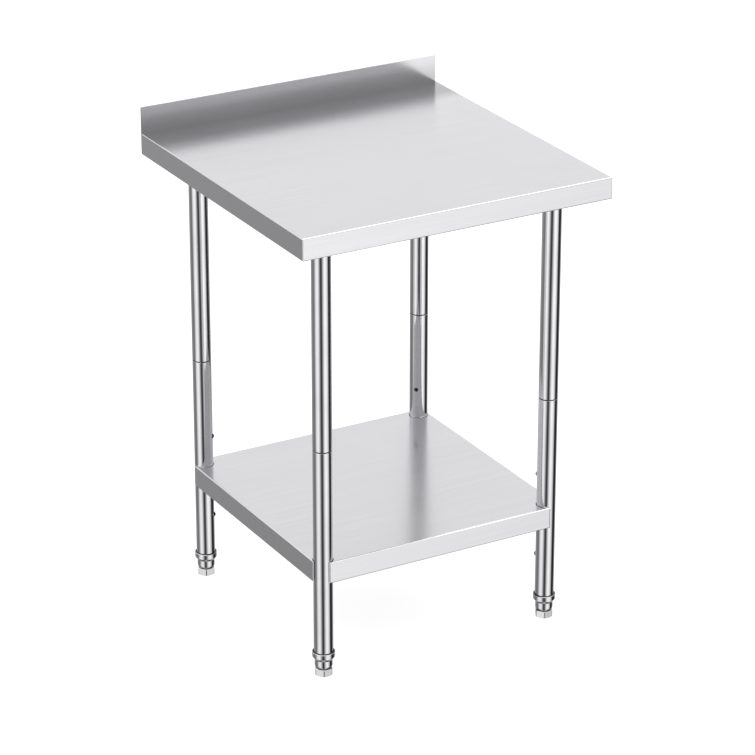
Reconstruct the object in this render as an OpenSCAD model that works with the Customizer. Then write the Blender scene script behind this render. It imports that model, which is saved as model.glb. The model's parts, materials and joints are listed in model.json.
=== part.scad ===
// Stainless work table: folded worktop with a low backsplash, two-piece round legs,
// bolted undershelf and four screw-adjustable feet.
// The front faces -Y, and the origin is on the floor under the middle of the table.

/* [Worktop] */
// Width of the worktop, left to right
top_w = 610; // [560:5:760]
// Depth of the worktop, front to rear
top_d = 610; // [560:5:760]
// Height of the work surface above the floor
work_h = 864; // [840:1:920]
// Depth of the folded skirt round the worktop
skirt_h = 40; // [34:1:60]
// Width of the lip folded in at the foot of each skirt
lip_w = 13; // [8:1:16]
// Height of the backsplash above the work surface
splash_h = 50; // [20:1:120]
// Thickness of the backsplash, which is the sheet doubled on itself
splash_t = 2.4; // [2:0.2:5]
// Thickness of the stainless sheet
sheet_t = 1; // [0.8:0.1:1.1]
// Outside radius of the folds
fold_r = 2; // [2:0.5:4]
// Radius of the upright corners, which are welded and ground
corner_r = 1.5; // [1.2:0.1:3]

/* [Stiffening channels] */
// Depth of a hat channel, sheet to crown
channel_h = 25; // [20:1:28]
// Width of a crown that carries leg sockets
crown_w = 80; // [76:1:90]
// Width of the crown of a channel that only stiffens
narrow_crown_w = 50; // [30:1:60]
// Width of each flange welded to the sheet
flange_w = 12; // [8:1:16]
// Thickness of the channel's steel
channel_t = 1.2; // [1:0.1:1.5]

/* [Legs] */
// Outside diameter of the leg tubes
leg_d = 35; // [32:0.5:38]
// Wall thickness of the leg tubes
leg_wall = 1.2; // [1:0.1:1.5]
// Distance of each leg's centre from the worktop's edges
leg_inset = 75; // [70:1:90]
// Height of the seam between the two leg tubes
seam_h = 437; // [400:1:480]
// Rounding of the tube ends
tube_end_r = 0.3; // [0.2:0.1:0.5]
// Length of the plastic sleeve inside the seam
joiner_len = 90; // [60:2:120]
// Width of the sleeve's collar, which shows as a dark line between the two tubes
collar_w = 2; // [0.4:0.1:2]

/* [Leg sockets] */
// Side of the square socket plate
plate_w = 78; // [76:1:80]
// Thickness of the socket plate
plate_t = 3; // [2:0.5:4]
// Length of the cup below its plate
cup_len = 32; // [28:1:36]
// Wall thickness of the cup
cup_wall = 2.8; // [2:0.2:4]
// Spacing of the four bolts in each plate
plate_bolt_pitch = 56; // [54:1:58]

/* [Undershelf] */
// Height of the shelf surface above the floor
shelf_h = 226; // [150:1:300]
// Depth of the shelf's skirt
shelf_skirt_h = 40; // [34:1:44]
// How far the shelf's skirts stand outside the leg tubes
shelf_proud = 2.5; // [2:0.5:4]
// Gap between a leg tube and the wall of its notch
notch_gap = 1; // [1:0.1:2.2]
// Outside radius of the fold round a notch
notch_fold_r = 1.2; // [1.2:0.1:3]
// Distance of the fixing holes below the shelf surface
hole_drop = 22; // [18:1:26]
// Step between the three fixing heights
hole_step = 80; // [60:1:100]
// Depth of the channel under the shelf
shelf_channel_h = 20; // [14:1:24]

/* [Feet] */
// Diameter of the flange that carries the leg tube
flange_d = 41; // [40:0.2:48]
// Height of the flange's straight edge
flange_h = 9.5; // [6:0.5:14]
// Diameter of the foot body below the flange
barrel_d = 32.4; // [30:0.2:36]
// Height of the taper between the flange and the barrel
taper_h = 6; // [4:0.1:8]
// Height of the leg tube's lower end above the floor
tube_foot_h = 46; // [40:1:56]
// Length of the plug inside the leg tube
plug_len = 28; // [20:1:40]
// Width of the hex foot across its flats
hex_flats = 30; // [27:0.5:32]
// Height of the hex foot
hex_h = 14; // [10:0.5:16]
// Turn of each hex foot as left by the spanner
hex_turn = 4; // [0:1:59]
// How far the hex foot's upright edges are turned down
hex_turned = 0.5; // [0.3:0.1:1]
// Diameter of the threaded stem
stem_d = 12; // [10:1:16]

/* [Fasteners] */
// Diameter of the shelf and socket bolts
bolt_d = 6; // [5:1:6]
// Clearance hole for those bolts
bolt_hole_d = 6.6; // [6.4:0.1:7]
// Diameter of the set screws in the leg sockets
set_screw_d = 8; // [6:1:8]
// Diameter of the head of a hole plug
hole_plug_d = 8.4; // [8:0.2:10.4]
// Height of the dome of a hole plug
hole_plug_h = 2.8; // [2:0.1:3.5]

/* [Hidden] */
$fn = 96;
eps = 0.01;
run_gap = 0.05;                  // radial gap of a screw or a pressed sleeve in its hole
seam_gap = 0.8;                  // gap between the hex foot and the body above it
socket_gap = 0.2;                // radial gap between a leg and its cup

leg_r = leg_d / 2;
tube_in_r = leg_r - leg_wall;
leg_x = top_w / 2 - leg_inset;
leg_y = top_d / 2 - leg_inset;

sheet_under = work_h - sheet_t;  // underside of the worktop's sheet
crown_under = sheet_under - channel_h;
plate_under = crown_under - plate_t;
cup_in_r = leg_r + socket_gap;
cup_out_r = cup_in_r + cup_wall;
cup_foot = plate_under - cup_len;
boss_reach = cup_out_r + 6;      // set screw boss, measured from the leg's axis
boss_r = 8;
set_screw_z = cup_foot + boss_r + 2;
plate_r = 8;                     // rounding of the plate's corners
cup_weld = 3;                    // width of the weld between a cup and its plate
channel_r = 2;                   // outside radius of a channel's folds
channel_end_gap = 4;             // gap between a channel's ends and the skirts
mitre_gap = 0.5;                 // saw cut where two lips meet
joiner_wall = 2.5;
collar_r = leg_r - 0.5;          // the collar lies a little inside the tubes' faces

shelf_w = 2 * (leg_x + leg_r + shelf_proud);
shelf_d = 2 * (leg_y + leg_r + shelf_proud);
shelf_under = shelf_h - shelf_skirt_h;
notch_r = leg_r + notch_gap;
front_lead = 2.2;                // the front and rear skirts end this far short of a leg's axis
front_end_r = 2.5;               // rounding of the upright edge where they end
side_lead = 0;                   // the same two for the skirts at the sides
side_end_r = 1.4;
shelf_hole_z = shelf_h - hole_drop;
hole_heights = [shelf_hole_z - hole_step, shelf_hole_z, shelf_hole_z + hole_step];
spare_heights = [hole_heights[0], hole_heights[2]];

top_channel_len = top_w - 2 * (sheet_t + channel_end_gap);
shelf_channel_len = shelf_w - 2 * (sheet_t + lip_w) - channel_end_gap;

barrel_foot = hex_h + seam_gap;
taper_top = tube_foot_h - flange_h;
plug_top = tube_foot_h + plug_len;
stem_foot = 4;                   // the stem starts this high inside the hex foot
stem_top = plug_top - 10;

washer_r = 6;
washer_t = 1;
bolt_head_flats = 10;
bolt_head_h = 4;
shelf_bolt_len = 16;
socket_bolt_len = 12;
weld_nut_h = 5;
rivet_body_d = 8.9;
rivet_hole_d = 9;
rivet_flange_r = 4.8;
rivet_flange_t = 0.3;
rivet_len = 12;
hole_plug_shank = 8;
set_screw_socket = 4;            // depth of the hexagon socket in a set screw
bolt_chamfer = 0.6;              // bevel round the top of a bolt head

// Corner names with the sign of X and Y: front left, front right, rear left, rear right.
CORNERS = [["fl", -1, -1], ["fr", 1, -1], ["rl", -1, 1], ["rr", 1, 1]];

// ---- shared shapes ----

// Circumscribed radius of a hexagon from its width across flats.
function hex_r(flats) = flats / (2 * cos(30));

// Places children on a leg's axis.
module at_leg(c) {
    translate([c[1] * leg_x, c[2] * leg_y, 0]) children();
}

// Places children on a leg's axis at height z, with +Z turned towards the table's middle.
module facing_middle(c, z) {
    translate([c[1] * leg_x, c[2] * leg_y, z])
        rotate([0, 0, atan2(-c[2], -c[1])])
            rotate([0, 90, 0]) children();
}

// Rectangle centred on the origin, with all four corners rounded.
module round_rect(w, h, r) {
    square([w - 2 * r, h], center = true);
    square([w, h - 2 * r], center = true);
    for (sx = [-1, 1], sy = [-1, 1])
        translate([sx * (w / 2 - r), sy * (h / 2 - r)]) circle(r);
}

// Block from z0 to z1. Its upper and lower edges are rounded by r, as a press brake leaves
// them, and its upright corners by upright_r.
module folded_block(w, d, z0, z1, r, upright_r) {
    intersection() {
        translate([0, 0, z0]) linear_extrude(z1 - z0) round_rect(w, d, upright_r);
        translate([0, 0, (z0 + z1) / 2]) rotate([90, 0, 0])
            linear_extrude(d, center = true) round_rect(w, z1 - z0, r);
        translate([0, 0, (z0 + z1) / 2]) rotate([90, 0, 90])
            linear_extrude(w, center = true) round_rect(d, z1 - z0, r);
    }
}

// Opening between the lips at the foot of a skirt, with the lips mitred at the corners.
module lip_opening(w, d, z0) {
    translate([0, 0, z0])
        cube([w - 2 * (sheet_t + lip_w), d - 2 * (sheet_t + lip_w), 3 * sheet_t], center = true);
}

// Saw cuts where two lips meet.
module lip_mitres(w, d, z0) {
    cut_len = lip_w + 2;
    for (sx = [-1, 1], sy = [-1, 1])
        translate([sx * (w / 2 - fold_r - lip_w / 2), sy * (d / 2 - fold_r - lip_w / 2), z0])
            rotate([0, 0, sx * sy * 45])
                cube([cut_len, mitre_gap, 3 * sheet_t], center = true);
}

// Round tube from z0 to z1 with rounded outer edges at its ends.
module tube(z0, z1, r_out, r_in) {
    e = tube_end_r;
    rotate_extrude() {
        translate([r_in, z0]) square([r_out - e - r_in, z1 - z0]);
        translate([r_in, z0 + e]) square([r_out - r_in, z1 - z0 - 2 * e]);
        for (z = [z0 + e, z1 - e]) translate([r_out - e, z]) circle(e);
    }
}

// Hat channel along X, hung under the plane z = top.
module hat_channel(len, crown, h, top) {
    t = channel_t;
    translate([0, 0, top - h / 2]) rotate([90, 0, 90])
        linear_extrude(len, center = true) {
            difference() {
                round_channel(crown, h, channel_r);
                translate([0, t]) round_channel(crown - 2 * t, h, channel_r - t);
            }
            for (s = [-1, 1])
                translate([s * (crown / 2 + flange_w / 2 - t / 2), h / 2 - t / 2])
                    square([flange_w + t, t], center = true);
        }
}

// Outline of a channel: round lower corners and a flat top.
module round_channel(w, h, r) {
    translate([0, r / 2]) square([w, h - r], center = true);
    square([w - 2 * r, h], center = true);
    for (s = [-1, 1]) translate([s * (w / 2 - r), -h / 2 + r]) circle(r);
}

// Hexagon bolt along -Z: its head stands on z = 0 and its shank reaches down len.
module hex_bolt(d, len, flats, head_h) {
    translate([0, 0, -len]) cylinder(d = d, h = len + eps);
    intersection() {
        cylinder(r = hex_r(flats), h = head_h, $fn = 6);
        rotate_extrude() polygon([
            [0, 0], [hex_r(flats), 0], [hex_r(flats), head_h - bolt_chamfer],
            [flats / 2 - bolt_chamfer / 2, head_h], [0, head_h]
        ]);
    }
}

// ---- worktop ----

// Solid under the outer faces of the worktop, backsplash included.
module worktop_outer() {
    folded_block(top_w, top_d, work_h - skirt_h, work_h, fold_r, corner_r);
    intersection() {
        translate([0, 0, work_h - skirt_h / 2])
            linear_extrude(skirt_h / 2 + splash_h) round_rect(top_w, top_d, corner_r);
        translate([0, top_d / 2 - splash_t / 2, 0]) rotate([90, 0, 90])
            linear_extrude(top_w, center = true) {
                translate([-splash_t / 2, 0]) square([splash_t, work_h + splash_h - splash_t / 2]);
                translate([0, work_h + splash_h - splash_t / 2]) circle(d = splash_t);
            }
    }
}

module worktop() {
    color("silver") difference() {
        worktop_outer();
        difference() {
            folded_block(top_w - 2 * sheet_t, top_d - 2 * sheet_t,
                work_h - skirt_h + sheet_t, sheet_under, fold_r - sheet_t, corner_r - sheet_t);
            // the doubled sheet behind the worktop stays whole
            translate([0, top_d / 2, work_h])
                cube([top_w, 2 * splash_t, skirt_h], center = true);
        }
        lip_opening(top_w, top_d, work_h - skirt_h);
        lip_mitres(top_w, top_d, work_h - skirt_h);
    }
}

// ---- channels under the worktop ----

// Bolt holes for a leg socket, through whatever lies at its plate.
module plate_holes(c, d) {
    for (sx = [-1, 1], sy = [-1, 1])
        at_leg(c) translate([sx * plate_bolt_pitch / 2, sy * plate_bolt_pitch / 2, plate_under - 1])
            cylinder(d = d, h = plate_t + channel_t + 2);
}

module socket_channel(sy) {
    color("lightsteelblue") difference() {
        translate([0, sy * leg_y, 0])
            hat_channel(top_channel_len, crown_w, channel_h, sheet_under);
        for (c = CORNERS) if (c[2] == sy) plate_holes(c, bolt_hole_d);
    }
}

module top_channel_centre() {
    color("lightsteelblue")
        hat_channel(top_channel_len, narrow_crown_w, channel_h, sheet_under);
}

// ---- leg sockets ----

module leg_socket(c) {
    color("gray") difference() {
        union() {
            at_leg(c) {
                translate([0, 0, plate_under])
                    linear_extrude(plate_t) round_rect(plate_w, plate_w, plate_r);
                rotate_extrude() {
                    translate([cup_in_r, cup_foot]) square([cup_wall, cup_len + eps]);
                    // weld between the cup and its plate
                    translate([cup_out_r - eps, plate_under + eps])
                        polygon([[0, 0], [cup_weld, 0], [0, -cup_weld]]);
                }
            }
            facing_middle(c, set_screw_z)
                translate([0, 0, cup_in_r + 1]) cylinder(r = boss_r, h = boss_reach - cup_in_r - 1);
        }
        at_leg(c) translate([0, 0, cup_foot - 1]) cylinder(r = cup_in_r, h = cup_len + 1);
        facing_middle(c, set_screw_z)
            translate([0, 0, cup_in_r - 2]) cylinder(d = set_screw_d + 2 * run_gap, h = boss_reach);
        plate_holes(c, bolt_hole_d);
    }
}

module socket_bolts() {
    color("lightgray") for (c = CORNERS, sx = [-1, 1], sy = [-1, 1])
        at_leg(c) translate([sx * plate_bolt_pitch / 2, sy * plate_bolt_pitch / 2, plate_under])
            mirror([0, 0, 1]) hex_bolt(bolt_d, socket_bolt_len, bolt_head_flats, bolt_head_h);
}

module weld_nuts() {
    color("darkgray") for (c = CORNERS, sx = [-1, 1], sy = [-1, 1])
        at_leg(c) translate([sx * plate_bolt_pitch / 2, sy * plate_bolt_pitch / 2,
            crown_under + channel_t])
            difference() {
                cylinder(r = hex_r(bolt_head_flats), h = weld_nut_h, $fn = 6);
                translate([0, 0, -1]) cylinder(d = bolt_d + 2 * run_gap, h = weld_nut_h + 2);
            }
}

module set_screws() {
    screw_len = boss_reach - leg_r - 2 * run_gap;
    color("dimgray") for (c = CORNERS)
        facing_middle(c, set_screw_z) translate([0, 0, leg_r + run_gap]) difference() {
            cylinder(d = set_screw_d, h = screw_len);
            translate([0, 0, screw_len - set_screw_socket])
                cylinder(r = hex_r(set_screw_d / 2), h = set_screw_socket + 1, $fn = 6);
        }
}

// ---- legs ----

module upper_leg(c) {
    color("gainsboro") at_leg(c) tube(seam_h + collar_w / 2, plate_under, leg_r, tube_in_r);
}

module leg_joiner(c) {
    joiner_r = tube_in_r - run_gap;
    color("black") at_leg(c) {
        tube(seam_h - joiner_len / 2, seam_h + joiner_len / 2, joiner_r, joiner_r - joiner_wall);
        translate([0, 0, seam_h - collar_w / 2]) rotate_extrude()
            translate([joiner_r - joiner_wall, 0])
                square([collar_r - joiner_r + joiner_wall, collar_w]);
    }
}

module lower_leg(c) {
    color("gainsboro") difference() {
        at_leg(c) tube(tube_foot_h, seam_h - collar_w / 2, leg_r, tube_in_r);
        for (z = hole_heights)
            facing_middle(c, z) cylinder(d = rivet_hole_d, h = leg_d);
    }
}

module rivet_nuts() {
    color("darkgray") for (c = CORNERS, z = hole_heights)
        facing_middle(c, z) difference() {
            union() {
                translate([0, 0, leg_r - rivet_len]) cylinder(d = rivet_body_d, h = rivet_len);
                translate([0, 0, leg_r]) cylinder(r = rivet_flange_r, h = rivet_flange_t);
            }
            translate([0, 0, leg_r - rivet_len - 1])
                cylinder(d = bolt_d + 2 * run_gap, h = rivet_len + rivet_flange_t + 2);
        }
}

module hole_plugs() {
    dome_r = (pow(hole_plug_d / 2, 2) + pow(hole_plug_h, 2)) / (2 * hole_plug_h);
    color("black") for (c = CORNERS, z = spare_heights)
        facing_middle(c, z) translate([0, 0, leg_r + rivet_flange_t]) {
            intersection() {
                cylinder(d = hole_plug_d, h = hole_plug_h);
                translate([0, 0, hole_plug_h - dome_r]) sphere(dome_r);
            }
            translate([0, 0, -hole_plug_shank])
                cylinder(d = bolt_d - 2 * run_gap, h = hole_plug_shank + eps);
        }
}

// ---- undershelf ----

// Takes a notch out of each corner. inset is 0 for the outer faces and the sheet's
// thickness for the inner ones; the rim of the notch is folded over like the skirts.
module corner_notches(inset) {
    wall_r = notch_r + inset;
    rim_r = notch_fold_r - inset;
    rim_z = shelf_h - notch_fold_r;
    for (c = CORNERS) at_leg(c) {
        rotate_extrude() {
            translate([0, shelf_under - 1]) square([wall_r, shelf_skirt_h + 2]);
            difference() {
                translate([0, rim_z]) square([wall_r + rim_r, rim_r + 2]);
                translate([wall_r + rim_r, rim_z]) circle(rim_r);
            }
        }
        translate([0, 0, shelf_under - 1]) linear_extrude(shelf_skirt_h + 2)
            mirror([c[1] < 0 ? 1 : 0, 0]) mirror([0, c[2] < 0 ? 1 : 0]) skirt_ends(inset);
    }
}

// Outline of what is cut away outside a leg, so that each skirt stops there in a rounded
// edge. The table's middle lies towards -X and -Y.
module skirt_ends(inset) {
    cut = 2 * leg_d;
    face = leg_r + shelf_proud;
    translate([-front_lead - inset, -side_lead - inset]) square(cut);
    end_rounding(-front_lead - inset, face - inset, front_end_r - inset);
    mirror([1, -1]) end_rounding(-side_lead - inset, face - inset, side_end_r - inset);
}

// Corner at [x, y] of a square outline, less the rounding that stays.
module end_rounding(x, y, r) {
    difference() {
        translate([x - r, y - r]) square(2 * r);
        translate([x - r, y - r]) circle(r);
    }
}

// Solid bounded by the sheet's outer faces (inset 0) or inner faces (inset sheet_t).
module shelf_block(inset) {
    difference() {
        folded_block(shelf_w - 2 * inset, shelf_d - 2 * inset,
            shelf_under + inset, shelf_h - inset, fold_r - inset, fold_r - inset);
        corner_notches(inset);
    }
}

module undershelf() {
    color("silver") difference() {
        shelf_block(0);
        shelf_block(sheet_t);
        difference() {
            lip_opening(shelf_w, shelf_d, shelf_under);
            for (c = CORNERS) at_leg(c)
                translate([0, 0, shelf_under - 3]) cylinder(r = notch_r + sheet_t, h = 6);
        }
        for (c = CORNERS) facing_middle(c, shelf_hole_z)
            translate([0, 0, notch_r - 2]) cylinder(d = bolt_hole_d, h = sheet_t + 4);
    }
}

module shelf_channel() {
    color("lightsteelblue")
        hat_channel(shelf_channel_len, narrow_crown_w, shelf_channel_h, shelf_h - sheet_t);
}

module shelf_bolts() {
    color("lightgray") for (c = CORNERS)
        facing_middle(c, shelf_hole_z) translate([0, 0, notch_r + sheet_t + washer_t])
            hex_bolt(bolt_d, shelf_bolt_len, bolt_head_flats, bolt_head_h);
}

module shelf_washers() {
    color("lightgray") for (c = CORNERS)
        facing_middle(c, shelf_hole_z) translate([0, 0, notch_r + sheet_t]) difference() {
            cylinder(r = washer_r, h = washer_t);
            translate([0, 0, -1]) cylinder(d = bolt_hole_d, h = washer_t + 2);
        }
}

// ---- feet ----

module foot_body(c) {
    flange_r = flange_d / 2;
    barrel_r = barrel_d / 2;
    plug_r = tube_in_r - run_gap;
    edge = 1;                    // rounding of the flange's upper edge
    curve_r = 8;                 // the barrel's foot draws in on this radius
    curve_h = 5.5;
    lead = 2;                    // bevel that leads the plug into the tube
    color("silver") at_leg(c) difference() {
        rotate_extrude() {
            translate([0, barrel_foot]) square([barrel_r - curve_r, curve_h + eps]);
            intersection() {
                translate([0, barrel_foot]) square([barrel_r, curve_h + eps]);
                translate([barrel_r - curve_r, barrel_foot + curve_h]) circle(curve_r);
            }
            polygon([
                [0, barrel_foot + curve_h], [barrel_r, barrel_foot + curve_h],
                [barrel_r, taper_top - taper_h], [flange_r, taper_top], [0, taper_top]
            ]);
            translate([0, taper_top - eps]) square([flange_r, flange_h - edge + eps]);
            translate([0, tube_foot_h - edge]) square([flange_r - edge, edge]);
            translate([flange_r - edge, tube_foot_h - edge]) circle(edge);
            polygon([
                [0, tube_foot_h - eps], [plug_r, tube_foot_h - eps],
                [plug_r, plug_top - lead], [plug_r - lead, plug_top], [0, plug_top]
            ]);
        }
        translate([0, 0, barrel_foot - 1])
            cylinder(d = stem_d + 2 * run_gap, h = plug_top - barrel_foot + 2);
    }
}

module foot_stem(c) {
    bevel = 1;
    color("lightgray") at_leg(c) rotate_extrude() polygon([
        [0, stem_foot], [stem_d / 2, stem_foot],
        [stem_d / 2, stem_top - bevel], [stem_d / 2 - bevel, stem_top], [0, stem_top]
    ]);
}

module foot_hex(c) {
    outer_r = hex_r(hex_flats) - hex_turned;
    flat_r = hex_flats / 2;
    foot_bevel = 1.2;
    top_bevel = 0.8;
    color("whitesmoke") at_leg(c) rotate([0, 0, hex_turn]) difference() {
        intersection() {
            cylinder(r = hex_r(hex_flats), h = hex_h, $fn = 6);
            rotate_extrude() polygon([
                [0, 0], [flat_r - foot_bevel / 2, 0], [outer_r, foot_bevel],
                [outer_r, hex_h - top_bevel], [flat_r + top_bevel / 2, hex_h], [0, hex_h]
            ]);
        }
        translate([0, 0, stem_foot - run_gap])
            cylinder(d = stem_d + 2 * run_gap, h = hex_h);
    }
}

// ---- the assembly ----

worktop();
socket_channel(-1);  // top_channel_front
top_channel_centre();
socket_channel(1);  // top_channel_rear
socket_bolts();
weld_nuts();
set_screws();
undershelf();
shelf_channel();
shelf_bolts();
shelf_washers();
rivet_nuts();
hole_plugs();
for (c = CORNERS) {
    leg_socket(c);
    upper_leg(c);
    leg_joiner(c);
    lower_leg(c);
    foot_body(c);
    foot_stem(c);
    foot_hex(c);
}
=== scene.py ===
"""Looks of the stainless work table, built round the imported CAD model.

Every CAD piece keeps its own mesh and gets a procedural metal or plastic. The foot stems
are replaced by threaded rods, and the spot welds that hold the channels are added.
All lengths are metres, in the part's own frame: +Z is up and the front faces -Y.
"""
import json
import math

import bmesh
import bpy
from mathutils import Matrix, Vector


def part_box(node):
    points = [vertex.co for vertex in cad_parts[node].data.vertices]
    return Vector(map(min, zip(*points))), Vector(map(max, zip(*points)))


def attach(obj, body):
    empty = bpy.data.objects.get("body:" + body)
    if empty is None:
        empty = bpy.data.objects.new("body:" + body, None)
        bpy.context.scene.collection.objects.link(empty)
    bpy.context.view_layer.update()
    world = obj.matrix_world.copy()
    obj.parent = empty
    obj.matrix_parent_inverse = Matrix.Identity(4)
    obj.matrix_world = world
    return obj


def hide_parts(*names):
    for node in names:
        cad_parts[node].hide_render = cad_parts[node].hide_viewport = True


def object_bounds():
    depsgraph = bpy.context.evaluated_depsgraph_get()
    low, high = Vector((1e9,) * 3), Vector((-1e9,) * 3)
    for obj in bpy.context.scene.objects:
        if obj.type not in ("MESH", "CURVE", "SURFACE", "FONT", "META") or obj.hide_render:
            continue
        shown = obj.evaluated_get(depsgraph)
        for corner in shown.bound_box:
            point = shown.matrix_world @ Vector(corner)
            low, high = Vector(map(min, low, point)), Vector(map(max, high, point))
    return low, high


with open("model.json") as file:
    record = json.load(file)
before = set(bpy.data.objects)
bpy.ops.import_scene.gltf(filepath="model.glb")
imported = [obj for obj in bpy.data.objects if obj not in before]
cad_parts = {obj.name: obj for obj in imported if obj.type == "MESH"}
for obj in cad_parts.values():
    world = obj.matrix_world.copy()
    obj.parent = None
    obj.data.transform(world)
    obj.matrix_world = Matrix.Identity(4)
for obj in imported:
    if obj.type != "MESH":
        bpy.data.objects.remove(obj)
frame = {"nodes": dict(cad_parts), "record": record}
cad_low, cad_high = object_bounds()
nodes = frame["nodes"]

CORNERS = ("fl", "fr", "rl", "rr")
MM = 0.001


# ---- camera ----

VIEW_AZIMUTH = math.radians(29.5)    # turned from +Y towards +X
VIEW_PITCH = math.radians(23.3)      # looking down
VIEW_DISTANCE = 6.28
LENS_MM = 165.5
SENSOR_MM = 36.0
FAR_CLIP = 200.0
AIM = Vector((0.0075, -0.004, 0.437))


def add_camera():
    level = math.cos(VIEW_PITCH)
    direction = Vector((
        math.sin(VIEW_AZIMUTH) * level,
        math.cos(VIEW_AZIMUTH) * level,
        -math.sin(VIEW_PITCH),
    ))
    camera = bpy.data.objects.new("camera", bpy.data.cameras.new("camera"))
    camera.data.lens = LENS_MM
    camera.data.sensor_width = SENSOR_MM
    camera.data.clip_end = FAR_CLIP
    camera.location = AIM - direction * VIEW_DISTANCE
    camera.rotation_euler = direction.to_track_quat("-Z", "Y").to_euler()
    bpy.context.scene.collection.objects.link(camera)
    bpy.context.scene.camera = camera


# ---- node trees ----

def add_node(tree, kind, inputs=None, **settings):
    """Adds a node. inputs maps socket names or numbers to values or to sockets to link."""
    node = tree.nodes.new("ShaderNode" + kind)
    for name, value in settings.items():
        setattr(node, name, value)
    for key, value in (inputs or {}).items():
        if isinstance(value, bpy.types.NodeSocket):
            tree.links.new(value, node.inputs[key])
        else:
            node.inputs[key].default_value = value
    return node


def maths(tree, operation, *values):
    return add_node(tree, "Math", dict(enumerate(values)), operation=operation).outputs[0]


def vector_maths(tree, operation, *values):
    return add_node(tree, "VectorMath", dict(enumerate(values)), operation=operation).outputs[0]


def blend_values(tree, factor, first, second):
    return add_node(tree, "Mix", {0: factor, 2: first, 3: second}).outputs[0]


def fade(tree, value, start, end, low=0.0, high=1.0):
    """Smooth step of value from low at start to high at end."""
    return add_node(tree, "MapRange", {
        "Value": value, "From Min": start, "From Max": end, "To Min": low, "To Max": high,
    }, interpolation_type="SMOOTHSTEP").outputs[0]


def ramp(tree, factor, stops):
    """Colour ramp through (position, grey) stops."""
    node = add_node(tree, "ValToRGB", {"Fac": factor})
    elements = node.color_ramp.elements
    node.color_ramp.interpolation = "EASE"
    while len(elements) < len(stops):
        elements.new(0.5)
    for element, (position, grey) in zip(elements, stops):
        element.position = position
        element.color = (grey, grey, grey, 1)
    return node.outputs["Color"]


# ---- studio ----

# Brightness of the studio round the table by compass angle: 0 is the front, 90 the right
# side, -90 the left side. Pale panels alternate with dark flags, which gives polished
# metal its stripes. LOW is what lies below eye level, HIGH what lies above it.
STUDIO_LOW = [
    (-180, 0.55), (-160, 0.42), (-140, 0.30), (-122, 0.24), (-108, 0.50), (-96, 1.12),
    (-78, 1.42), (-66, 1.34), (-56, 0.90), (-46, 0.33), (-35, 0.06), (-25, 0.08),
    (-13, 0.54), (-2, 1.15), (9, 1.52), (22, 1.50), (32, 1.26), (41, 1.02),
    (50, 0.54), (57, 0.05), (88, 0.02), (102, 0.35), (122, 0.75), (150, 0.85),
    (180, 0.55),
]
STUDIO_HIGH = [
    (-180, 1.00), (-120, 1.00), (-90, 0.80), (-60, 0.66), (0, 0.64), (50, 0.66),
    (80, 0.80), (110, 1.00), (180, 1.00),
]
CEILING = 2.6                 # softbox overhead
STRIP = 1.2                   # light strip round the studio above eye level, on top of the rest
RAMP_TOP = 1.6                # brightest value that a studio ramp can hold
# Directions are told by their height: the Z of a unit vector.
HORIZON = (-0.06, 0.06)       # LOW gives way to HIGH
OVERHEAD = (0.56, 0.74)       # HIGH gives way to the ceiling
STRIP_MIDDLE = 0.15
STRIP_REACH = 0.10            # to either side of its middle
DIM_FLOOR = (-0.34, -0.90)    # LOW dims towards the floor under the table
NADIR = 0.50                  # what is left of it there


def studio_band(tree, turn, band):
    stops = [((angle + 180) / 360, value / RAMP_TOP) for angle, value in band]
    return maths(tree, "MULTIPLY", ramp(tree, turn, stops), RAMP_TOP)


def add_world():
    world = bpy.data.worlds.new("studio")
    world.use_nodes = True
    tree = world.node_tree
    tree.nodes.clear()
    direction = add_node(tree, "TexCoord").outputs["Generated"]
    axes = add_node(tree, "SeparateXYZ", {0: direction}).outputs
    forward = maths(tree, "MULTIPLY", axes["Y"], -1.0)
    angle = maths(tree, "ARCTAN2", axes["X"], forward)
    turn = maths(tree, "ADD", maths(tree, "DIVIDE", angle, 2 * math.pi), 0.5)
    height = axes["Z"]
    dimmed = add_node(tree, "MapRange", {
        "Value": height, "From Min": DIM_FLOOR[0], "From Max": DIM_FLOOR[1],
        "To Min": 1.0, "To Max": NADIR,
    }).outputs[0]
    low = maths(tree, "MULTIPLY", studio_band(tree, turn, STUDIO_LOW), dimmed)
    high = studio_band(tree, turn, STUDIO_HIGH)
    sides = blend_values(tree, fade(tree, height, *HORIZON), low, high)
    from_strip = maths(tree, "ABSOLUTE", maths(tree, "SUBTRACT", height, STRIP_MIDDLE))
    sides = maths(tree, "ADD", sides, fade(tree, from_strip, 0.0, STRIP_REACH, STRIP, 0.0))
    light = blend_values(tree, fade(tree, height, *OVERHEAD), sides, CEILING)
    # the camera itself sees plain white beyond the floor
    seen = add_node(tree, "LightPath").outputs["Is Camera Ray"]
    strength = blend_values(tree, seen, light, 1.0)
    background = add_node(tree, "Background", {"Color": (1, 1, 1, 1), "Strength": strength})
    add_node(tree, "OutputWorld", {"Surface": background.outputs[0]})
    bpy.context.scene.world = world


FLOOR_REACH = 60.0            # from its middle to each edge
FLOOR_HEIGHT = -24.5 * MM     # clear of the feet when they are screwed out all the way
FLOOR_GLOW = 0.86             # the floor is a light table, so shadows on it stay faint
FLOOR_PAINT = 0.25            # grey of its surface


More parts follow.
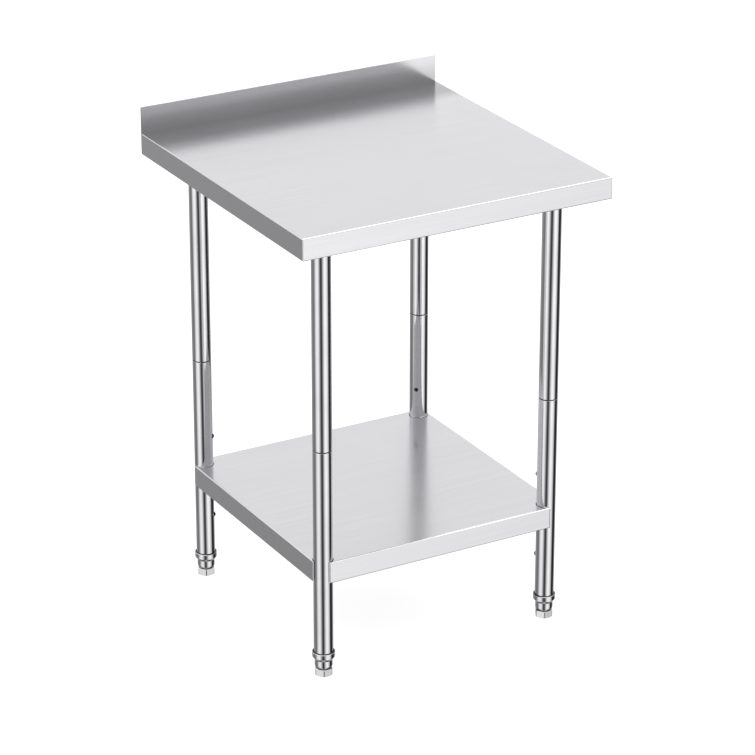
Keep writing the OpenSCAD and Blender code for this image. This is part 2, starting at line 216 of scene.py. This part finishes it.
def add_floor():
    mesh = bpy.data.meshes.new("floor")
    corners = [
        (x * FLOOR_REACH, y * FLOOR_REACH, FLOOR_HEIGHT) for x, y in ((-1, -1), (1, -1), (1, 1), (-1, 1))
    ]
    mesh.from_pydata(corners, [], [(0, 1, 2, 3)])
    floor = bpy.data.objects.new("floor", mesh)
    bpy.context.scene.collection.objects.link(floor)
    material = bpy.data.materials.new("light_table")
    material.use_nodes = True
    tree = material.node_tree
    tree.nodes.clear()
    paint = add_node(tree, "BsdfDiffuse", {"Color": (FLOOR_PAINT,) * 3 + (1,)})
    glow = add_node(tree, "Emission", {"Strength": FLOOR_GLOW})
    both = add_node(tree, "AddShader", {0: paint.outputs[0], 1: glow.outputs[0]})
    add_node(tree, "OutputMaterial", {"Surface": both.outputs[0]})
    mesh.materials.append(material)
    floor.visible_glossy = False


# ---- materials ----

NOISE_RANGE = (0.25, 0.75)    # where most of a noise lies
NOISE_ROUGHNESS = 0.6         # how much its finer grains count
METAL_RELIEF = 0.004 * MM     # depth of brushed grain and polishing marks


def metal(name, base, roughness, anisotropic=0.0):
    """A metal with its tree, its shader and its coordinates. The base colour and roughness
    stand for the surface in viewers that don't read the nodes that are linked over them."""
    material = bpy.data.materials.new(name)
    material.use_nodes = True
    tree = material.node_tree
    shader = tree.nodes["Principled BSDF"]
    shader.inputs["Base Color"].default_value = (*base, 1)
    shader.inputs["Metallic"].default_value = 1.0
    shader.inputs["Roughness"].default_value = roughness
    shader.inputs["Anisotropic"].default_value = anisotropic
    coordinates = add_node(tree, "TexCoord").outputs
    return material, tree, shader, coordinates


def streaks(tree, vector, sizes, detail=3.0):
    """Noise whose grains have these sizes along X, Y and Z, in metres."""
    scaled = add_node(tree, "Mapping", {"Vector": vector, "Scale": [1 / s for s in sizes]})
    return add_node(tree, "TexNoise", {
        "Vector": scaled.outputs[0], "Scale": 1.0, "Detail": detail, "Roughness": NOISE_ROUGHNESS,
    }).outputs[0]


def vary(tree, value, low, high):
    """Maps noise to low..high."""
    return add_node(tree, "MapRange", {
        "Value": value, "From Min": NOISE_RANGE[0], "From Max": NOISE_RANGE[1],
        "To Min": low, "To Max": high,
    }).outputs[0]


def bumped(tree, shader, height, depth):
    bump = add_node(tree, "Bump", {"Height": height, "Distance": depth, "Strength": 1.0})
    tree.links.new(bump.outputs[0], shader.inputs["Normal"])


def tinted(tree, shader, factor, dark, light):
    """Base colour between two colours: dark at factor 0, light at 1."""
    mix = add_node(tree, "Mix", {0: factor, 6: (*dark, 1), 7: (*light, 1)}, data_type="RGBA")
    tree.links.new(mix.outputs[2], shader.inputs["Base Color"])


LEVEL = 0.7                   # a face whose normal has more than this along an axis looks that way


def sheet_grain(tree, coordinates):
    """Grain direction of a folded sheet that was brushed along X, and coordinates whose X
    runs along it. On the folds at the two ends the grain turns down with the sheet."""
    place = add_node(tree, "SeparateXYZ", {0: coordinates["Object"]}).outputs
    facing = add_node(tree, "SeparateXYZ", {0: coordinates["Normal"]}).outputs
    end_fold = maths(tree, "GREATER_THAN", maths(tree, "ABSOLUTE", facing["X"]), LEVEL)
    turned = add_node(tree, "CombineXYZ", {0: place["Z"], 1: place["Y"], 2: place["X"]})
    along = add_node(tree, "Mix", {
        0: end_fold, 4: coordinates["Object"], 5: turned.outputs[0],
    }, data_type="VECTOR").outputs[1]
    grain = add_node(tree, "Mix", {
        0: end_fold, 4: (1, 0, 0), 5: (0, 0, 1),
    }, data_type="VECTOR").outputs[1]
    return grain, along


SPLASH_HEIGHT = 50 * MM       # the backsplash above the work surface
SPLASH_THICKNESS = 2.4 * MM
# Painted shade in the corner under the backsplash: the share of the base colour that it
# takes away, and the distances from the corner between which it fades out.
WORKTOP_PAINTED_SHADE = 0.36
WORKTOP_PAINTED_SHADE_EDGE = (55 * MM, 112 * MM)
SPLASH_PAINTED_SHADE = 0.30
SPLASH_PAINTED_SHADE_EDGE = (0, SPLASH_HEIGHT)
PAINTED_SHADE_SLACK = 1 * MM           # the painted shade starts this far under the work surface


def rear_corner_painted_shade(tree, coordinates):
    """Share of the base colour that the painted shade in the corner under the backsplash takes away."""
    place = add_node(tree, "SeparateXYZ", {0: coordinates["Object"]}).outputs
    facing = add_node(tree, "SeparateXYZ", {0: coordinates["Normal"]}).outputs
    forward = maths(tree, "SUBTRACT", cad_high[1] - SPLASH_THICKNESS, place["Y"])
    upward = maths(tree, "SUBTRACT", place["Z"], cad_high[2] - SPLASH_HEIGHT)
    on_worktop = maths(tree, "MULTIPLY", maths(tree, "GREATER_THAN", facing["Z"], LEVEL),
                       fade(tree, forward, *WORKTOP_PAINTED_SHADE_EDGE, WORKTOP_PAINTED_SHADE, 0.0))
    on_splash = maths(tree, "MULTIPLY", maths(tree, "LESS_THAN", facing["Y"], -LEVEL),
                      fade(tree, upward, *SPLASH_PAINTED_SHADE_EDGE, SPLASH_PAINTED_SHADE, 0.0))
    above = maths(tree, "GREATER_THAN", upward, -PAINTED_SHADE_SLACK)
    return maths(tree, "MULTIPLY", above, maths(tree, "ADD", on_worktop, on_splash))


ROUNDED = (0.80, 0.98)        # largest part of the normal: a rounded fold below, a flat above


def fold_wear(tree, coordinates):
    """1 on the rounded folds, which hands and cloths keep bright, and 0 on the flats."""
    turned = vector_maths(tree, "ABSOLUTE", coordinates["Normal"])
    axes = add_node(tree, "SeparateXYZ", {0: turned}).outputs
    flat = maths(tree, "MAXIMUM", maths(tree, "MAXIMUM", axes["X"], axes["Y"]), axes["Z"])
    return fade(tree, flat, *ROUNDED, 1.0, 0.0)


SHEET_STEEL = (0.695, 0.693, 0.713)
SHEET_ROUGHNESS = (0.16, 0.21)
SHEET_ANISOTROPY = 0.25
# Grain sizes: along the brushing, then across it both ways.
FINE_GRAIN = (60 * MM, 0.5 * MM, 0.5 * MM)
BROAD_GRAIN = (400 * MM, 5 * MM, 5 * MM)
BROAD_SHADE = (0.92, 0.97)
HANDLED_SIZE = 130 * MM
HANDLED_ROUGHNESS = (-0.015, 0.015)
SCUFF_SIZE = (25 * MM, 0.6 * MM, 0.6 * MM)
SCUFF_TURN = (0.4, 0.3, 0.5)  # radians
SCUFF_NOISE = (0.66, 0.74)    # no scuff below, full scuff above
SCUFF_ROUGHNESS = 0.06
FOLD_ROUGHNESS = -0.06


def brushed_sheet():
    """Stainless sheet: fine brushed grain, broad bands of it, handled patches and scuffs, with
    painted shade in the corner under the backsplash.
    """
    material, tree, shader, coordinates = metal("brushed_sheet", (0.66,) * 3, 0.2, SHEET_ANISOTROPY)
    grain, along = sheet_grain(tree, coordinates)
    across = vector_maths(tree, "CROSS_PRODUCT", coordinates["Normal"], grain)
    tree.links.new(across, shader.inputs["Tangent"])
    fine = streaks(tree, along, FINE_GRAIN)
    broad = streaks(tree, along, BROAD_GRAIN)
    handled = streaks(tree, coordinates["Object"], (HANDLED_SIZE,) * 3)
    crossed = add_node(tree, "Mapping", {"Vector": coordinates["Object"], "Rotation": SCUFF_TURN})
    scuffs = fade(tree, streaks(tree, crossed.outputs[0], SCUFF_SIZE), *SCUFF_NOISE)
    # painted shade: the sheet's colour darkens in the corner under the backsplash
    tone_after_painted_shade = maths(tree, "SUBTRACT", 1.0, rear_corner_painted_shade(tree, coordinates))
    shade = maths(tree, "MULTIPLY", vary(tree, broad, *BROAD_SHADE), tone_after_painted_shade)
    tinted(tree, shader, shade, (0.0,) * 3, SHEET_STEEL)
    worn = maths(tree, "MULTIPLY", fold_wear(tree, coordinates), FOLD_ROUGHNESS)
    texture = maths(tree, "ADD", vary(tree, fine, *SHEET_ROUGHNESS),
                    vary(tree, handled, *HANDLED_ROUGHNESS))
    marks = maths(tree, "ADD", maths(tree, "MULTIPLY", scuffs, SCUFF_ROUGHNESS), worn)
    tree.links.new(maths(tree, "ADD", texture, marks), shader.inputs["Roughness"])
    bumped(tree, shader, fine, METAL_RELIEF)
    return material


LEDGE = (0.75, 0.98)          # upward part of the normal: no painted shade below, full painted shade on a level ledge above


def ledge_painted_shade(tree, coordinates):
    """Painted shade that darkens level ledges in place of a dark reflection: 1 where the face looks
    straight up.
    """
    upward = add_node(tree, "SeparateXYZ", {0: coordinates["Normal"]}).outputs["Z"]
    return fade(tree, upward, *LEDGE)


MARK_SPREAD = (0.7, 1.3)      # polishing marks scale the roughness
SMEAR_SIZE = (30 * MM, 30 * MM, 70 * MM)
SMEAR_SHADE = (0.90, 1.0)
SMEAR_ROUGHNESS = (-0.01, 0.03)


def polished(name, base, roughness, mark_sizes, ledge_shade=1.0):
    """Polished round metal with faint polishing marks and handling smears. Level ledges
    get painted shade, down to ledge_shade of the base colour."""
    material, tree, shader, coordinates = metal(name, base, roughness)
    marks = streaks(tree, coordinates["Object"], mark_sizes)
    smears = streaks(tree, coordinates["Object"], SMEAR_SIZE)
    # painted shade darkens level ledges, on top of the smears' own tone
    tone_after_painted_shade = maths(tree, "SUBTRACT", vary(tree, smears, *SMEAR_SHADE), maths(
        tree, "MULTIPLY", ledge_painted_shade(tree, coordinates), 1.0 - ledge_shade))
    tinted(tree, shader, tone_after_painted_shade, (0.0,) * 3, base)
    polish = vary(tree, marks, *(roughness * share for share in MARK_SPREAD))
    total = maths(tree, "ADD", polish, vary(tree, smears, *SMEAR_ROUGHNESS))
    tree.links.new(total, shader.inputs["Roughness"])
    bumped(tree, shader, marks, METAL_RELIEF)
    return material


PATCH_GRAINS = 12             # size of the patches in the colour, in grains
PATCH_ROUGHNESS = 0.06        # to either side


def grainy(name, dark, light, roughness, grain, depth):
    """Cast or plated surface with an even grain."""
    material, tree, shader, coordinates = metal(name, light, roughness)
    noise = streaks(tree, coordinates["Object"], (grain,) * 3, detail=4.0)
    patches = streaks(tree, coordinates["Object"], (PATCH_GRAINS * grain,) * 3)
    tinted(tree, shader, patches, dark, light)
    texture = vary(tree, patches, roughness - PATCH_ROUGHNESS, roughness + PATCH_ROUGHNESS)
    tree.links.new(texture, shader.inputs["Roughness"])
    bumped(tree, shader, noise, depth)
    return material


PLASTIC_GREYS = (0.004, 0.009)
PLASTIC_ROUGHNESS = (0.38, 0.52)
PLASTIC_SPECULAR = 0.25
PLASTIC_GRAIN = 0.25 * MM
PLASTIC_PATCH = 4 * MM
PLASTIC_RELIEF = 0.01 * MM


def moulded(name):
    """Black moulded plastic with a fine spark-eroded grain."""
    material, tree, shader, coordinates = metal(name, (0.006,) * 3, 0.45)
    shader.inputs["Metallic"].default_value = 0.0
    shader.inputs["Specular IOR Level"].default_value = PLASTIC_SPECULAR
    grain = streaks(tree, coordinates["Object"], (PLASTIC_GRAIN,) * 3, detail=2.0)
    patches = streaks(tree, coordinates["Object"], (PLASTIC_PATCH,) * 3)
    tinted(tree, shader, patches, *((grey,) * 3 for grey in PLASTIC_GREYS))
    tree.links.new(vary(tree, patches, *PLASTIC_ROUGHNESS), shader.inputs["Roughness"])
    bumped(tree, shader, grain, PLASTIC_RELIEF)
    return material


ZINC_DARK = (0.44, 0.46, 0.48)
ZINC_LIGHT = (0.62, 0.64, 0.66)
ZINC_ROUGHNESS = (0.32, 0.52)
ZINC_RELIEF = 0.01 * MM
SPANGLE = 7 * MM


def galvanised():
    """Zinc-coated steel with spangles."""
    material, tree, shader, coordinates = metal("galvanised_steel", (0.55, 0.57, 0.59), 0.4)
    cells = add_node(tree, "TexVoronoi", {"Vector": coordinates["Object"], "Scale": 1 / SPANGLE})
    shade = add_node(tree, "SeparateColor", {0: cells.outputs["Color"]}).outputs[0]
    tinted(tree, shader, shade, ZINC_DARK, ZINC_LIGHT)
    roughness = add_node(tree, "MapRange", {
        "Value": shade, "To Min": ZINC_ROUGHNESS[0], "To Max": ZINC_ROUGHNESS[1],
    })
    tree.links.new(roughness.outputs[0], shader.inputs["Roughness"])
    bumped(tree, shader, cells.outputs["Distance"], ZINC_RELIEF)
    return material


MATERIALS = {
    "brushed_sheet": brushed_sheet(),
    "polished_tube": polished("polished_tube", (0.66, 0.658, 0.675), 0.055, (2 * MM, 2 * MM, 60 * MM)),
    # polished_foot: painted shade darkens its level ledges to 0.12 of its colour
    "polished_foot": polished("polished_foot", (0.66, 0.658, 0.675), 0.06,
                              (40 * MM, 40 * MM, 0.4 * MM), ledge_shade=0.12),
    "satin_hex": grainy("satin_hex", (0.56,) * 3, (0.64,) * 3, 0.17, 0.5 * MM, 0.006 * MM),
    "galvanised_steel": galvanised(),
    "cast_socket": grainy("cast_socket", (0.40,) * 3, (0.52,) * 3, 0.48, 0.8 * MM, 0.05 * MM),
    "zinc_fastener": grainy("zinc_fastener", (0.55, 0.57, 0.58), (0.68, 0.69, 0.68), 0.3,
                            0.6 * MM, 0.01 * MM),
    "black_screw": grainy("black_screw", (0.02,) * 3, (0.045,) * 3, 0.4, 0.4 * MM, 0.01 * MM),
    "black_plastic": moulded("black_plastic"),
}


def dress_nodes():
    for part in frame["record"]["subparts"]:
        node = nodes[part["node"]]
        node.data.materials.clear()
        node.data.materials.append(MATERIALS[part["material_slot"]])


# ---- pieces that the CAD model holds only in outline ----

THREAD_PITCH = 1.75 * MM
THREAD_DEPTH = 1.0 * MM
THREAD_CREST = 0.2            # width of the flat crest, in half turns
THREAD_FLANK = 0.6            # width of a sloping flank, in half turns
THREAD_SIDES = 24             # points round the rod
THREAD_ROWS = 6               # rows of points to each turn of the thread
THREAD_SLACK = 0.02 * MM      # the crests stay this far inside the CAD stem


def thread_radius(crest, turns):
    """Radius of a thread with flat crests and roots, after so many turns."""
    from_crest = abs(2 * (turns % 1.0) - 1)
    depth = min(max((from_crest - THREAD_CREST) / THREAD_FLANK, 0.0), 1.0)
    return crest - THREAD_DEPTH * depth


def add_threaded_stem(corner):
    """Right-handed threaded rod in place of a foot's plain CAD stem."""
    node = "foot_stem_" + corner
    low, high = (Vector(end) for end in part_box(node))
    middle = (low + high) / 2
    crest = (high.x - low.x) / 2 - THREAD_SLACK
    row_step = THREAD_PITCH / THREAD_ROWS
    rows = math.floor((high.z - low.z) / row_step)
    mesh = bmesh.new()
    rings = []
    for row in range(rows + 1):
        z = low.z + (high.z - low.z) * row / rows
        from_end = min(z - low.z, high.z - z)
        ring = []
        for side in range(THREAD_SIDES):
            share = side / THREAD_SIDES
            radius = thread_radius(crest, (z - low.z) / THREAD_PITCH - share)
            radius = min(radius, crest - THREAD_DEPTH + from_end)
            angle = 2 * math.pi * share
            ring.append(mesh.verts.new((
                middle.x + radius * math.cos(angle), middle.y + radius * math.sin(angle), z,
            )))
        rings.append(ring)
    for lower, upper in zip(rings, rings[1:]):
        for side in range(THREAD_SIDES):
            after = (side + 1) % THREAD_SIDES
            mesh.faces.new((lower[side], lower[after], upper[after], upper[side])).smooth = True
    mesh.faces.new(reversed(rings[0]))
    mesh.faces.new(rings[-1])
    piece = add_piece("threaded_stem_" + corner, mesh, "zinc_fastener")
    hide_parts(node)
    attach(piece, "stem_" + corner)


WELD_RADIUS = 2.8 * MM
WELD_HEIGHT = 0.25 * MM       # of the rim round the crater
# Section of a weld from its edge inwards: shares of its radius and of its height.
WELD_PROFILE = ((1.0, 0.0), (0.8, 1.0), (0.6, 0.9), (0.35, 0.3))
WELD_SIDES = 20
WELD_SPACING = 75 * MM
WELD_EDGE = 5.5 * MM          # from a channel's long edge to its row of welds
CHANNEL_STEEL = 1.2 * MM      # thickness of a channel's flange, under the sheet it is welded to


def add_spot_weld(mesh, x, y, z):
    """Small crater with a raised rim on a downward face at height z."""
    rings = []
    for reach, rise in WELD_PROFILE:
        rings.append([
            mesh.verts.new((
                x + WELD_RADIUS * reach * math.cos(2 * math.pi * side / WELD_SIDES),
                y + WELD_RADIUS * reach * math.sin(2 * math.pi * side / WELD_SIDES),
                z - WELD_HEIGHT * rise,
            )) for side in range(WELD_SIDES)
        ])
    for outer, inner in zip(rings, rings[1:]):
        for side in range(WELD_SIDES):
            after = (side + 1) % WELD_SIDES
            mesh.faces.new((outer[side], inner[side], inner[after], outer[after])).smooth = True
    mesh.faces.new(reversed(rings[-1])).smooth = True
    mesh.faces.new(rings[0])


def add_spot_welds():
    """Rows of spot welds along both flanges of every channel."""
    mesh = bmesh.new()
    for node in ("top_channel_front", "top_channel_centre", "top_channel_rear", "shelf_channel"):
        low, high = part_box(node)
        count = round((high[0] - low[0]) / WELD_SPACING)
        step = (high[0] - low[0]) / count
        for y in (low[1] + WELD_EDGE, high[1] - WELD_EDGE):
            for place in range(count):
                add_spot_weld(mesh, low[0] + step * (place + 0.5), y, high[2] - CHANNEL_STEEL)
    piece = add_piece("spot_welds", mesh, "galvanised_steel")
    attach(piece, "table")


def add_piece(name, mesh, slot):
    """Object from a bmesh, in a material slot of the record."""
    data = bpy.data.meshes.new(name)
    mesh.to_mesh(data)
    mesh.free()
    data.materials.append(MATERIALS[slot])
    piece = bpy.data.objects.new(name, data)
    bpy.context.scene.collection.objects.link(piece)
    return piece


bpy.context.scene.view_settings.view_transform = "Standard"
add_camera()
add_world()
add_floor()
dress_nodes()
for corner in CORNERS:
    add_threaded_stem(corner)
add_spot_welds()
